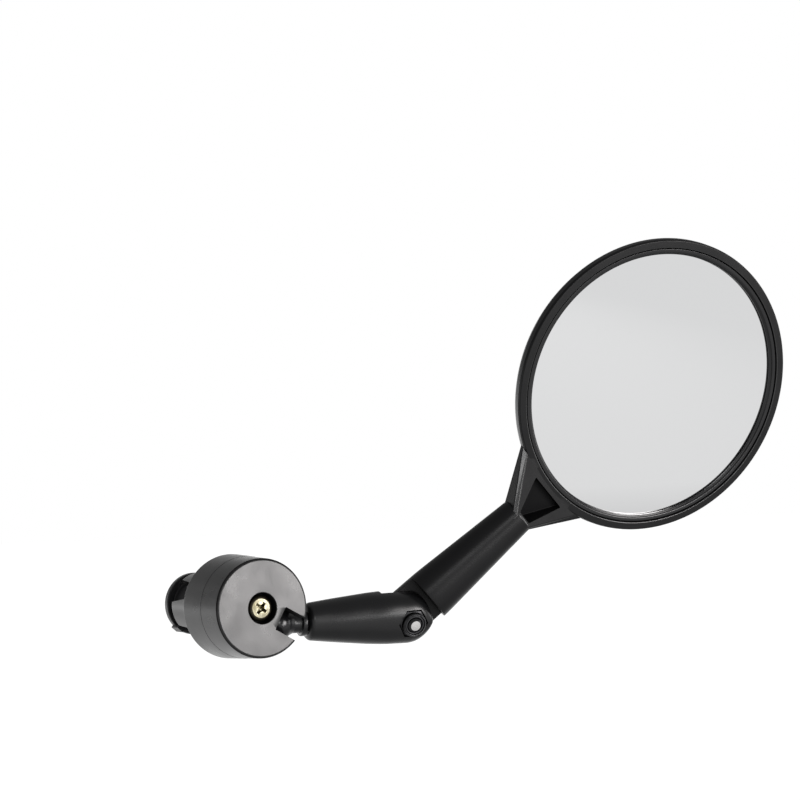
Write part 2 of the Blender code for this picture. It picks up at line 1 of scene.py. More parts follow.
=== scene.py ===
"""Looks of the bar-end bicycle mirror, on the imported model's frame. Lengths are metres.

Every visible piece except the foam pad is rebuilt finer than its CAD node, in the same place, and
none reaches more than 0.02 mm past the CAD's box. Edges, threads and a few sections are finer.
The local frames are the CAD's:
  HEAD     z is the plug's axis, from the cap towards the bar, with 0 at the bar's end
  STUD     origin at the ball's centre, x along the lower arm, z towards the mirror's face
  BOLT     the stud's frame moved to the hinge
  KNUCKLE  the bolt's frame turned, with x along the upper arm
  MIRROR   the knuckle's frame moved to the middle of the rim's front
"""

import math

import bmesh
import bpy
from mathutils import Matrix, Vector


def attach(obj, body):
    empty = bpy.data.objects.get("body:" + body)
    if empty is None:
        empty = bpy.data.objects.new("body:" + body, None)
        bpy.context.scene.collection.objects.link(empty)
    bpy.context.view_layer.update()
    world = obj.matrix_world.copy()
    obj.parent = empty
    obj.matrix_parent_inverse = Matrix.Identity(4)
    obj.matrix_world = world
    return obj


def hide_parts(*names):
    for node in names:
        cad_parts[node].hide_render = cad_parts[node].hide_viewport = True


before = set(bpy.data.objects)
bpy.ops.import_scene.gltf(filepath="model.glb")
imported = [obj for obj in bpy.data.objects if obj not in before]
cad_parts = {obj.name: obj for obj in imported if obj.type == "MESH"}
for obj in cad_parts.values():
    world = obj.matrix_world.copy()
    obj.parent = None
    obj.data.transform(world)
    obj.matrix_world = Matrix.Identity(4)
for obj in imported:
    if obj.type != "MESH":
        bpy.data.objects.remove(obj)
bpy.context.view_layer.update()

MM = 0.001

NOTCH = math.radians(29.0)
BALL_OUT = 9.8 * MM
BALL = Vector((BALL_OUT * math.cos(NOTCH), BALL_OUT * math.sin(NOTCH), -10.2 * MM))
BALL_R = 4.5 * MM
SOCKET_R = 4.8 * MM
HEAD_BORE_R = 2.35 * MM
CAP_FRONT = -19.5 * MM
CAP_SEAM = -10.22 * MM
BASE_SEAM = -10.18 * MM
SCREW_TOP = -18.8 * MM
SCREW_UNDER = -16.2 * MM
SLEEVE_R = 8.85 * MM
SLEEVE_END = 20.1 * MM

ARM_LENGTH = 37.3 * MM
LUG_HALF_WIDTH = 7.2 * MM
LUG_HALF_DEPTH = 6.0 * MM
LUG_STEPS = 18
LAP_HALF_GAP = 0.15 * MM
BOLT_BORE_R = 2.3 * MM
NUT_FLATS = 7.0 * MM
NUT_POCKET = 7.6 * MM

ARM_END = 42.0 * MM
WEB_START = 41.0 * MM
WEB_END = 56.0 * MM
MIRROR_X = 94.8 * MM
RIM_Z = -1.3 * MM
RIM_R = 42.3 * MM
RIM_INNER_R = 39.9 * MM

HEAD = Matrix.Rotation(math.radians(-90), 4, "X")
STUD = (Matrix.Translation(HEAD @ BALL) @ Matrix.Rotation(math.radians(-6.9), 4, "Z")
        @ Matrix.Rotation(math.radians(109.4), 4, "X"))
BOLT = STUD @ Matrix.Translation((ARM_LENGTH, 0, 0))
KNUCKLE = BOLT @ Matrix.Rotation(math.radians(42.65), 4, "Z")
MIRROR = KNUCKLE @ Matrix.Translation((MIRROR_X, 0, RIM_Z))
ALONG_X = Matrix.Rotation(math.radians(90), 4, "Y")


# ---------------------------------------------------------------- mesh helpers

def obj_from(build, name):
    mesh = bpy.data.meshes.new(name)
    bmesh.ops.recalc_face_normals(build, faces=build.faces)
    build.to_mesh(mesh)
    build.free()
    made = bpy.data.objects.new(name, mesh)
    bpy.context.scene.collection.objects.link(made)
    return made


def apply_modifiers(item):
    bpy.context.view_layer.update()
    evaluated = item.evaluated_get(bpy.context.evaluated_depsgraph_get())
    mesh = bpy.data.meshes.new_from_object(evaluated)
    item.modifiers.clear()
    item.data = mesh


def cut(item, tool, operation="DIFFERENCE"):
    step = item.modifiers.new("cut", "BOOLEAN")
    step.operation = operation
    step.object = tool
    step.solver = "EXACT"
    apply_modifiers(item)
    bpy.data.objects.remove(tool, do_unlink=True)


def round_edges(item, width, angle=35.0, segments=2):
    step = item.modifiers.new("round", "BEVEL")
    step.width = width
    step.segments = segments
    step.limit_method = "ANGLE"
    step.angle_limit = math.radians(angle)
    step.use_clamp_overlap = True
    apply_modifiers(item)


def fillets(points, loop=True):
    """Corners given as (r, z) or (r, z, radius); the ones with a radius become arcs."""
    made = []
    count = len(points)
    for i, point in enumerate(points):
        here = Vector(point[:2])
        ends = not loop and i in (0, count - 1)
        if len(point) < 3 or ends:
            made.append(here)
            continue
        before = (Vector(points[i - 1][:2]) - here).normalized()
        after = (Vector(points[(i + 1) % count][:2]) - here).normalized()
        half = before.angle(after) / 2
        reach = point[2] / math.tan(half)
        middle = here + (before + after).normalized() * (point[2] / math.sin(half))
        start = here + before * reach - middle
        end = here + after * reach - middle
        sweep = start.angle_signed(end)
        steps = max(3, int(abs(sweep) / math.radians(12)) + 1)
        for k in range(steps + 1):
            turn = -sweep * k / steps
            made.append(middle + Vector((start.x * math.cos(turn) - start.y * math.sin(turn),
                                         start.x * math.sin(turn) + start.y * math.cos(turn))))
    return made


def turned(name, points, steps=96, loop=True):
    """Turn (radius, z) points about z; a loop is a closed section, otherwise it ends on the axis."""
    profile = fillets(points, loop)
    build = bmesh.new()
    rings = []
    for r, z in profile:
        if r < 1e-7:
            rings.append([build.verts.new((0, 0, z))])
        else:
            angles = [2 * math.pi * i / steps for i in range(steps)]
            rings.append([build.verts.new((r * math.cos(angle), r * math.sin(angle), z)) for angle in angles])
    pairs = list(zip(rings, rings[1:]))
    if loop:
        pairs.append((rings[-1], rings[0]))
    for first, second in pairs:
        for i in range(steps):
            j = (i + 1) % steps
            corners = []
            for vert in (first[i % len(first)], first[j % len(first)],
                         second[j % len(second)], second[i % len(second)]):
                if vert not in corners:
                    corners.append(vert)
            if len(corners) > 2:
                build.faces.new(corners)
    return obj_from(build, name)


def skin(build, rings):
    """Join equal rings of vertices side by side and close both ends."""
    sides = len(rings[0])
    for first, second in zip(rings, rings[1:]):
        for i in range(sides):
            j = (i + 1) % sides
            build.faces.new((first[i], first[j], second[j], second[i]))
    build.faces.new(rings[0][::-1])
    build.faces.new(rings[-1])


def prism(name, outline, z_low, z_high):
    build = bmesh.new()
    skin(build, [[build.verts.new((x, y, z)) for x, y in outline] for z in (z_low, z_high)])
    return obj_from(build, name)


def block(name, low, high):
    return prism(name, [(low[0], low[1]), (high[0], low[1]), (high[0], high[1]), (low[0], high[1])],
                 low[2], high[2])


def rod(name, radius, z_low, z_high, sides=64):
    angles = [2 * math.pi * i / sides for i in range(sides)]
    ring = [(radius * math.cos(angle), radius * math.sin(angle)) for angle in angles]
    return prism(name, ring, z_low, z_high)


def hexagon(name, across_flats, z_low, z_high):
    return rod(name, across_flats / 2 / math.cos(math.pi / 6), z_low, z_high, sides=6)


def ball(name, radius, center, segments=64):
    build = bmesh.new()
    bmesh.ops.create_uvsphere(build, u_segments=segments, v_segments=segments // 2, radius=radius)
    bmesh.ops.translate(build, verts=build.verts, vec=center)
    return obj_from(build, name)


def moved(item, matrix):
    item.data.transform(matrix)
    return item


def loft(name, stations, sides=72):
    """Skin sections (x, half_width, half_thickness, superellipse power) across the x axis."""
    build = bmesh.new()
    rings = []
    for x, half_w, half_t, power in stations:
        ring = []
        for i in range(sides):
            angle = 2 * math.pi * i / sides
            c, s = math.cos(angle), math.sin(angle)
            ring.append(build.verts.new((x, math.copysign(abs(c) ** (2 / power), c) * half_w,
                                         math.copysign(abs(s) ** (2 / power), s) * half_t)))
        rings.append(ring)
    skin(build, rings)
    return obj_from(build, name)


def between(keys, x):
    """Read a list of (x, value...) keys at x, in straight lines between keys."""
    for first, second in zip(keys, keys[1:]):
        if x <= second[0]:
            t = (x - first[0]) / (second[0] - first[0])
            return [a + (b - a) * t for a, b in zip(first[1:], second[1:])]
    return list(keys[-1][1:])


def threaded(name, r_crest, r_root, pitch, z_low, z_high, sides=36, per_turn=6):
    """Closed shank with a helical thread, running out at both ends."""
    build = bmesh.new()
    count = int((z_high - z_low) / pitch * per_turn)
    rings = []
    for k in range(count + 1):
        z = z_low + (z_high - z_low) * k / count
        fade = min(1.0, (z - z_low) / pitch, (z_high - z) / pitch)
        ring = []
        for i in range(sides):
            phase = (z / pitch - i / sides) % 1.0
            tooth = min(1.0, max(0.0, 1.6 * (1 - abs(2 * phase - 1)) - 0.2))
            r = r_root + (r_crest - r_root) * tooth * fade
            angle = 2 * math.pi * i / sides
            ring.append(build.verts.new((r * math.cos(angle), r * math.sin(angle), z)))
        rings.append(ring)
    skin(build, rings)
    return obj_from(build, name)


def place(item, matrix, body, look, nodes, angle=32.0):
    """Set a finished piece in the world, shade it, and tie it to its body and CAD node."""
    item.data.transform(matrix)
    item.data.materials.clear()
    item.data.materials.append(look)
    item.data.shade_smooth()
    item.data.set_sharp_from_angle(angle=math.radians(angle))
    weigh = item.modifiers.new("weigh", "WEIGHTED_NORMAL")
    weigh.keep_sharp = True
    apply_modifiers(item)
    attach(item, body)
    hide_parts(*nodes)
    return item


def repaint(item, matrix, look, chosen):
    """Give the faces picked by a test on their local centre and normal a second material."""
    item.data.materials.append(look)
    index = len(item.data.materials) - 1
    back = matrix.inverted()
    for face in item.data.polygons:
        if chosen(back @ face.center, back.to_3x3() @ face.normal):
            face.material_index = index


# ---------------------------------------------------------------- materials

def node(tree, kind, **values):
    made = tree.nodes.new(kind)
    for key, value in values.items():
        if key in made.inputs:
            made.inputs[key].default_value = value
        else:
            setattr(made, key, value)
    return made


def surface(name, base, roughness, metallic=0.0, specular=0.5):
    look = bpy.data.materials.new(name)
    look.use_nodes = True
    shader = look.node_tree.nodes["Principled BSDF"]
    shader.inputs["Base Color"].default_value = (*base, 1)
    shader.inputs["Roughness"].default_value = roughness
    shader.inputs["Metallic"].default_value = metallic
    shader.inputs["Specular IOR Level"].default_value = specular
    return look, look.node_tree, shader


def ramp(tree, source, low, high, dark, light):
    made = node(tree, "ShaderNodeMapRange")
    made.inputs["From Min"].default_value = low
    made.inputs["From Max"].default_value = high
    made.inputs["To Min"].default_value = dark
    made.inputs["To Max"].default_value = light
    tree.links.new(source, made.inputs["Value"])
    return made.outputs["Result"]


def noise(tree, scale, detail, **more):
    """A noise texture fixed to the piece."""
    made = node(tree, "ShaderNodeTexNoise", Scale=scale, Detail=detail, **more)
    tree.links.new(node(tree, "ShaderNodeTexCoord").outputs["Object"], made.inputs["Vector"])
    return made.outputs["Fac"]


def tinted(tree, shader, mix_by, dark, light):
    tint = node(tree, "ShaderNodeMix", data_type="RGBA")
    factor, first, second = (tint.inputs[index] for index in (0, 6, 7))
    first.default_value = (*dark, 1)
    second.default_value = (*light, 1)
    tree.links.new(mix_by, factor)
    tree.links.new(tint.outputs[2], shader.inputs["Base Color"])


def bumped(tree, shader, height, strength, distance):
    bump = node(tree, "ShaderNodeBump", Strength=strength, Distance=distance)
    tree.links.new(height, bump.inputs["Height"])
    tree.links.new(bump.outputs["Normal"], shader.inputs["Normal"])


def moulded_plastic(name, base, rough_low, rough_high, grain=0.04, specular=0.5, cloud=120.0):
    """Black moulded plastic: clouded gloss, a very fine grain and faint flow marks."""
    look, tree, shader = surface(name, base, 0.35, specular=specular)
    gloss = ramp(tree, noise(tree, cloud, 2.0, Roughness=0.45), 0.3, 0.7, rough_low, rough_high)
    tree.links.new(gloss, shader.inputs["Roughness"])
    dark = (base[0] * 0.75, base[1] * 0.75, base[2] * 0.78)
    light = (base[0] * 1.3, base[1] * 1.3, base[2] * 1.32)
    tinted(tree, shader, noise(tree, 38.0, 2.0, Distortion=0.6), dark, light)
    bumped(tree, shader, noise(tree, 2600.0, 3.0), grain, 0.0002)
    return look


def plated_steel(name, base, tint_to, roughness, grain=0.15):
    """Plated steel: uneven tint and small tool marks."""
    look, tree, shader = surface(name, base, roughness, metallic=1.0)
    tinted(tree, shader, ramp(tree, noise(tree, 420.0, 4.0), 0.35, 0.65, 0.0, 1.0), base, tint_to)
    scratch = noise(tree, 1500.0, 6.0, Distortion=0.3)
    gloss = ramp(tree, scratch, 0.3, 0.7, roughness * 0.8, roughness * 1.35)
    tree.links.new(gloss, shader.inputs["Roughness"])
    bumped(tree, shader, scratch, grain, 0.0001)
    return look


def mirror_silver(name):
    """Silvered glass with a trace of haze."""
    look, tree, shader = surface(name, (0.9, 0.905, 0.91), 0.02, metallic=1.0)
    tree.links.new(ramp(tree, noise(tree, 30.0, 4.0), 0.3, 0.7, 0.015, 0.04), shader.inputs["Roughness"])
    return look


def foam_look(name):
    look, tree, shader = surface(name, (0.05, 0.05, 0.05), 0.9)
    cells = node(tree, "ShaderNodeTexVoronoi", Scale=1800.0)
    tree.links.new(node(tree, "ShaderNodeTexCoord").outputs["Object"], cells.inputs["Vector"])
    bumped(tree, shader, cells.outputs["Distance"], 0.5, 0.0003)
    return look


BLACK = moulded_plastic("arm_plastic", (0.0065, 0.0065, 0.0070), 0.25, 0.33, specular=0.45)
FACE_BLACK = moulded_plastic("head_plastic", (0.0065, 0.0063, 0.0064), 0.26, 0.33, specular=0.55, cloud=170.0)
HOUSING_BLACK = moulded_plastic("housing_plastic", (0.0062, 0.0062, 0.0066), 0.30, 0.38, specular=0.24)
RIM_BLACK = moulded_plastic("rim_plastic", (0.0065, 0.0065, 0.0072), 0.20, 0.28, specular=0.45)
# Painted shade: a darker, duller copy of the plastic for the inside of recesses, pockets and bores.
POCKET_SHADE = moulded_plastic("pocket_painted_shade", (0.004, 0.004, 0.0043), 0.55, 0.65, specular=0.12)
# Painted highlight: a glossier copy of the arm plastic for the web's chamfer, the arm's rounded end and the
# rim's inner edge.
BAND_HIGHLIGHT = moulded_plastic("band_painted_highlight", (0.0065, 0.0065, 0.0070), 0.24, 0.32, specular=1.0)
WEDGE_BLACK = moulded_plastic("wedge_plastic", (0.012, 0.012, 0.013), 0.34, 0.45)
# Painted shade: the head's yellow zinc is much darker than real plating, so that its reflections come out
# dimmer.
YELLOW_SHADED = plated_steel("yellow_zinc", (0.24, 0.215, 0.13), (0.34, 0.32, 0.24), 0.30)
# Painted shade: a near-black copy of the zinc for the screw head's flank, which sits in the recess's shade.
SCREW_EDGE_SHADE = plated_steel("screw_edge_painted_shade", (0.035, 0.030, 0.022), (0.06, 0.055, 0.04), 0.40)
BRONZE = plated_steel("screw_zinc", (0.72, 0.56, 0.46), (0.82, 0.68, 0.56), 0.28)
STEEL = plated_steel("bright_steel", (0.72, 0.71, 0.70), (0.82, 0.81, 0.80), 0.24)
DARK_STEEL = plated_steel("black_steel", (0.035, 0.035, 0.037), (0.06, 0.06, 0.062), 0.30)
NYLON = moulded_plastic("nylon", (0.02, 0.02, 0.022), 0.35, 0.5)
SILVER = mirror_silver("mirror_silver")
FOAM = foam_look("foam")


# ---------------------------------------------------------------- head

def neck_fan(z_low, z_high):
    """Room for the ball's neck to swing 35 degrees to each side of the notch."""
    half = 3.2 * MM
    outline = []
    for side in (-1, 1):
        heading = NOTCH + side * math.radians(35)
        along = Vector((math.cos(heading), math.sin(heading)))
        across = Vector((-along.y, along.x)) * side * half
        near, far = BALL.xy + across, BALL.xy + across + along * 14 * MM
        outline += [tuple(near), tuple(far)] if side < 0 else [tuple(far), tuple(near)]
    return prism("fan", outline, z_low, z_high)


def make_cap():
    recess_r, recess_floor = 4.05 * MM, -15.9 * MM
    cap = turned("cap", [(HEAD_BORE_R, CAP_SEAM), (13.46 * MM, CAP_SEAM, 0.04 * MM),
                         (13.0 * MM, CAP_FRONT, 0.75 * MM), (recess_r, CAP_FRONT, 0.22 * MM),
                         (recess_r, recess_floor, 0.2 * MM), (HEAD_BORE_R, recess_floor)], steps=160)
    notch = block("notch", (5.9 * MM, -3.3 * MM, -24 * MM), (20 * MM, 3.3 * MM, -9 * MM))
    cut(cap, moved(notch, Matrix.Rotation(NOTCH, 4, "Z")))
    cut(cap, ball("socket", SOCKET_R, BALL))
    cut(cap, neck_fan(-14.5 * MM, -9 * MM))
    round_edges(cap, 0.16 * MM)
    place(cap, HEAD, "head", FACE_BLACK, ["clamp_cap"])
    # Painted shade: faces inside the cap's face ring (recess, notch, socket and bore) get the dark pocket
    # copy.
    repaint(cap, HEAD, POCKET_SHADE, lambda at, normal: at.xy.length < 13.0 * MM and at.z > -19.2 * MM)


def slot_cutter(index):
    """One of the sleeve's four slots: open at the sleeve's end, round at its root."""
    half_width, root = 3.5 * MM, 1.4 * MM
    outline = [(SLEEVE_END + MM, -half_width), (SLEEVE_END + MM, half_width)]
    for step in range(13):
        angle = math.pi / 12 * step
        outline.append((root + root * (1 - math.sin(angle)), root * math.cos(angle)))
    slot = prism("slot", outline, 3 * MM, 11 * MM)
    stood = Matrix(((0, 0, 1, 0), (0, -1, 0, 0), (1, 0, 0, 0), (0, 0, 0, 1)))
    return moved(slot, Matrix.Rotation(NOTCH + math.pi + math.pi / 2 * index, 4, "Z") @ stood)


def make_base():
    bore_r, shoulder_r = 5.6 * MM, 14.0 * MM
    base = turned("base", [(SLEEVE_R, SLEEVE_END, 0.45 * MM), (SLEEVE_R, 0.0, 0.25 * MM),
                           (shoulder_r, 0.0, 0.4 * MM), (13.5 * MM, BASE_SEAM, 0.04 * MM),
                           (HEAD_BORE_R, BASE_SEAM), (HEAD_BORE_R, -1.5 * MM), (bore_r, -0.5 * MM),
                           (bore_r, 11 * MM), (7.0 * MM, SLEEVE_END, 0.2 * MM)], steps=160)
    bulge = ball("bulge", 5.9 * MM, BALL)
    cut(bulge, block("trim", (-20 * MM, -20 * MM, -30 * MM), (30 * MM, 30 * MM, BASE_SEAM)))
    cut(base, bulge, "UNION")
    cut(base, ball("socket", SOCKET_R, BALL))
    cut(base, neck_fan(-11 * MM, -6.7 * MM))
    for index in range(4):
        cut(base, slot_cutter(index))
    round_edges(base, 0.16 * MM)
    place(base, HEAD, "head", FACE_BLACK, ["clamp_base"])
    # Painted shade: faces of the base within 13.2 mm of the axis, on the cap's side of the bar's end (socket,
    # bore, neck fan, seam face), get the dark pocket copy.
    repaint(base, HEAD, POCKET_SHADE, lambda at, normal: at.xy.length < 13.2 * MM and at.z < -0.5 * MM)


def cut_cross(head, top):
    """Cut a driver's cross into a head, from its top along z."""
    long, deep = 2.05 * MM, 1.75 * MM
    for turn in (math.radians(38), math.radians(128)):
        build = bmesh.new()
        mouth, floor = [], []
        for x, y in ((-1, -1), (1, -1), (1, 1), (-1, 1)):
            mouth.append(build.verts.new((x * long, y * 0.50 * MM, top - 0.4 * MM)))
            floor.append(build.verts.new((x * long * 0.46, y * 0.24 * MM, top + deep)))
        skin(build, [mouth, floor])
        bmesh.ops.rotate(build, verts=build.verts, matrix=Matrix.Rotation(turn, 3, "Z"))
        cut(head, obj_from(build, "cross"))
    middle = [(0, top - 0.5 * MM), (1.15 * MM, top - 0.5 * MM),
              (0.35 * MM, top + 1.7 * MM), (0, top + 1.9 * MM)]
    cut(head, turned("cross_center", middle, steps=32, loop=False))


def make_screw():
    """Pan head with a driver's cross, and its threaded shank as a second piece."""
    dome_r, dome_rise = 2.3 * MM, 0.22 * MM
    dome = [(dome_r * k / 8, SCREW_TOP + dome_rise * (k / 8) ** 2) for k in range(7, -1, -1)]
    edge = []
    for degrees in range(90, -1, -10):
        angle = math.radians(degrees)
        edge.append((dome_r + 1.2 * MM * math.sin(angle),
                     SCREW_TOP + dome_rise + 1.1 * MM * (1 - math.cos(angle))))
    skirt = [(0, SCREW_UNDER), (3.45 * MM, SCREW_UNDER, 0.1 * MM)]
    head = turned("screw_head", skirt + edge + dome, steps=72, loop=False)
    cut_cross(head, SCREW_TOP)
    cut(head, rod("head_stub", 1.9 * MM, SCREW_UNDER - 0.2 * MM, -2 * MM, sides=36), "UNION")
    round_edges(head, 0.07 * MM)
    place(head, HEAD, "screw", YELLOW_SHADED, ["clamp_screw"])
    # Painted shade: the head's flank beyond 2.6 mm from the axis gets the near-black copy of the zinc.
    repaint(head, HEAD, SCREW_EDGE_SHADE, lambda at, normal: at.xy.length > 2.6 * MM and at.z < -16 * MM)
    shank = threaded("screw_thread", 1.95 * MM, 1.55 * MM, 0.7 * MM, -2.2 * MM, 32.2 * MM)
    place(shank, HEAD, "screw", BRONZE, ["clamp_screw"], angle=60)


def make_wedge():
    disc_r, face, inner, tip = 8.6 * MM, 25.7 * MM, 23.5 * MM, 13.5 * MM
    bore_r = 2.3 * MM
    wedge = turned("wedge", [(bore_r, face), (disc_r, face, 0.5 * MM), (disc_r, inner, 0.3 * MM),
                             (6.5 * MM, inner, 0.3 * MM), (4.9 * MM, tip, 0.3 * MM), (bore_r, tip)],
                   steps=128)
    for side in (0, 1):
        key = block("key", (5.0 * MM, -1.0 * MM, 21.0 * MM), (9.2 * MM, 1.0 * MM, 25.4 * MM))
        cut(wedge, moved(key, Matrix.Rotation(NOTCH + math.radians(102 + 180 * side), 4, "Z")), "UNION")
    cut(wedge, hexagon("pocket", NUT_POCKET, 20.8 * MM, 27.6 * MM))
    round_edges(wedge, 0.18 * MM)
    place(wedge, HEAD, "wedge", WEDGE_BLACK, ["expander_wedge"])


def nut(name, z_low, z_high, bore=2.15 * MM):
    """Hexagon nut with its corners turned down at both ends."""
    made = hexagon(name, NUT_FLATS, z_low, z_high)
    flat = NUT_FLATS / 2
    corner = flat / math.cos(math.pi / 6) + 0.1 * MM
    drop = (corner - flat) * 0.55
    envelope = turned("envelope", [(0, z_high), (flat * 0.97, z_high), (corner, z_high - drop),
                                   (corner, z_low + drop), (flat * 0.97, z_low), (0, z_low)],
                      steps=96, loop=False)
    cut(made, envelope, "INTERSECT")
    cut(made, rod("bore", bore, z_low - MM, z_high + MM))
    round_edges(made, 0.1 * MM)
    return made


def make_wedge_nut():
    wedge_nut = nut("plug_nut", 21.1 * MM, 24.3 * MM)
    place(wedge_nut, HEAD, "wedge", STEEL, ["wedge_nut"])


def make_stud():
    """Ball, neck, collar and shank, turned about the arm's axis."""
    neck_r, collar_r, shank_r, end = 2.9 * MM, 3.8 * MM, 2.4 * MM, 17 * MM
    profile = [(0, -BALL_R)]
    for step in range(1, 33):
        angle = math.pi * step / 36
        radius, along = BALL_R * math.sin(angle), -BALL_R * math.cos(angle)
        if along > 0 and radius < 3.3 * MM:
            break
        profile.append((radius, along))
    profile += [(neck_r, 4.1 * MM, 0.5 * MM), (neck_r, 6.2 * MM, 0.15 * MM), (collar_r, 6.2 * MM, 0.35 * MM),
                (collar_r, 7.6 * MM, 0.35 * MM), (shank_r, 7.6 * MM), (shank_r, end, 0.3 * MM), (0, end)]
    stud = turned("stud", profile[::-1], steps=96, loop=False)
    place(stud, STUD @ ALONG_X, "stud", RIM_BLACK, ["ball_stud"])


# ---------------------------------------------------------------- arms

def lug_end(hinge, side, k):
    """One section of the rounded end beyond a hinge, k steps out of LUG_STEPS."""
    angle = math.pi / 2 * k / LUG_STEPS
    squeeze = math.cos(angle)
    return (hinge + side * 6.3 * MM * math.sin(angle), LUG_HALF_WIDTH * squeeze,
            LUG_HALF_DEPTH * (0.70 + 0.30 * squeeze ** 0.8), 2.4)


def make_lower_arm():
    start, rounding = 8.0 * MM, 1.3 * MM
    keys = [(start, 4.95 * MM, 4.55 * MM, 2.15), (16 * MM, 5.95 * MM, 5.2 * MM, 2.15),
            (25.3 * MM, 6.95 * MM, 5.75 * MM, 2.2), (28.0 * MM, 7.1 * MM, 5.9 * MM, 2.3),
            (31 * MM, LUG_HALF_WIDTH, LUG_HALF_DEPTH, 2.45),
            (ARM_LENGTH, LUG_HALF_WIDTH, LUG_HALF_DEPTH, 2.5)]
    stations = []
    for k in range(9):
        angle = math.pi / 2 * k / 8
        x = start + rounding * (1 - math.cos(angle))
        half_w, half_t, power = between(keys, x)
        inset = rounding * (1 - math.sin(angle))
        stations.append((x, half_w - inset, half_t - inset, power))
    for k in range(1, 15):
        x = 9.3 * MM + (ARM_LENGTH - 9.3 * MM) * k / 14
        stations.append((x, *between(keys, x)))
    stations += [lug_end(ARM_LENGTH, 1, k) for k in range(1, LUG_STEPS)]
    arm = loft("lower_arm_shell", stations)
    at_hinge = Matrix.Translation((ARM_LENGTH, 0, 0))
    cut(arm, block("lap", (ARM_LENGTH - 8 * MM, -12 * MM, -12 * MM),
                   (ARM_LENGTH + 12 * MM, 12 * MM, LAP_HALF_GAP)))
    cut(arm, moved(rod("bore", 2.7 * MM, 7 * MM, 17.8 * MM), ALONG_X))
    cut(arm, moved(rod("bolt_bore", BOLT_BORE_R, -MM, 8 * MM), at_hinge))
    cut(arm, moved(hexagon("pocket", NUT_POCKET, 2.2 * MM, 9 * MM), at_hinge))
    round_edges(arm, 0.22 * MM, angle=40)
    place(arm, STUD, "lower_arm", BLACK, ["lower_arm"])


def make_hinge_nut():
    """Lock nut: a hexagon with a thin collar rolled over its nylon ring, and the ring."""
    outer = nut("hinge_nut", 2.5 * MM, 5.5 * MM, bore=2.25 * MM)
    collar = turned("nut_collar", [(3.0 * MM, 5.4 * MM), (3.35 * MM, 5.4 * MM),
                                   (3.35 * MM, 6.6 * MM, 0.35 * MM), (2.95 * MM, 6.9 * MM, 0.12 * MM),
                                   (2.8 * MM, 6.85 * MM), (3.0 * MM, 6.5 * MM)], steps=96)
    cut(outer, collar, "UNION")
    place(outer, BOLT, "lower_arm", DARK_STEEL, ["knuckle_nut"])
    low, high, inner, outer_r = 5.7 * MM, 6.75 * MM, 2.2 * MM, 2.7 * MM
    ring = turned("nut_ring", [(inner, low), (outer_r, low), (outer_r, high, 0.2 * MM),
                               (inner, high, 0.2 * MM)], steps=64)
    place(ring, BOLT, "lower_arm", NYLON, ["knuckle_nut_ring"])


def make_hinge_bolt():
    """Bolt with a cross in its head; all of it is black except the cut end in the nut."""
    shank_r, head_r, end, head_top = 1.95 * MM, 3.6 * MM, 7.3 * MM, -6.6 * MM
    bolt = turned("hinge_bolt", [(0, end), (1.42 * MM, end, 0.12 * MM), (shank_r, 6.75 * MM),
                                 (shank_r, -4 * MM), (head_r, -4 * MM, 0.1 * MM),
                                 (head_r, -5.3 * MM, 0.4 * MM), (2.7 * MM, -6.5 * MM, 0.5 * MM),
                                 (0, head_top)], steps=64, loop=False)
    cut_cross(bolt, head_top)
    round_edges(bolt, 0.06 * MM)
    place(bolt, BOLT, "lower_arm", STEEL, ["knuckle_bolt"])
    repaint(bolt, BOLT, DARK_STEEL, lambda at, normal: at.xy.length > 1.36 * MM or at.z < 0)


def gusset():
    """Web from the arm's end to the rim, with soft edges: two sections in mm, (y, z), joined."""
    near = [(-2.7, 3.9), (-4.0, 2.9), (-4.1, -2.4), (-2.7, -3.9),
            (2.7, -3.9), (4.1, -2.4), (4.0, 3.0), (2.75, 3.95)]
    far = [(-14.6, -2.0), (-16.6, -2.6), (-16.6, -3.6), (-15.3, -3.9),
           (13.5, -3.9), (14.8, -3.6), (14.6, -2.9), (12.7, -2.0)]
    build = bmesh.new()
    first = [build.verts.new((WEB_START, y * MM, z * MM)) for y, z in near]
    second = [build.verts.new((WEB_END, y * MM, z * MM)) for y, z in far]
    skin(build, [first, second])
    bmesh.ops.recalc_face_normals(build, faces=build.faces)
    long_edges = [edge for edge in build.edges if abs(edge.verts[0].co.x - edge.verts[1].co.x) > MM]
    bmesh.ops.bevel(build, geom=long_edges, offset=0.18 * MM, segments=2, profile=0.5, affect="EDGES")
    bmesh.ops.triangulate(build, faces=build.faces)
    return obj_from(build, "gusset")


def below_web(at):
    """True for points under the web's sloping front."""
    return at.z < 3.6 * MM - 0.394 * (at.x - WEB_START)


def in_shaded_pocket(at, normal):
    """Faces in the hollow in the web, whose middle leans and which widens towards the rim: they get painted
    shade.
    """
    x = at.x - ARM_END
    inside = 0.15 * MM < x < 10.75 * MM and at.z > -2.75 * MM
    return inside and abs(at.y + 0.10 * x) < 2.4 * MM + 0.41 * x and below_web(at)


def on_painted_highlight(at, normal):
    """The web's chamfer, the arm's rounded end and the rim's inner edge: they get a glossier copy of the
    plastic as a painted highlight.
    """
    band = 41.5 * MM < at.x < 55.5 * MM and at.y > 2.9 * MM and 0.3 < normal.y < 0.7 and normal.z > 0.5
    end = 41.4 * MM < at.x < 42.2 * MM and at.z > 2.5 * MM and abs(at.y) < 2.6 * MM and normal.x > 0.4
    radius = math.hypot(at.x - MIRROR_X, at.y)
    rim = 39.8 * MM < radius < 40.3 * MM and 0.2 < normal.z < 0.97
    return band or end or rim


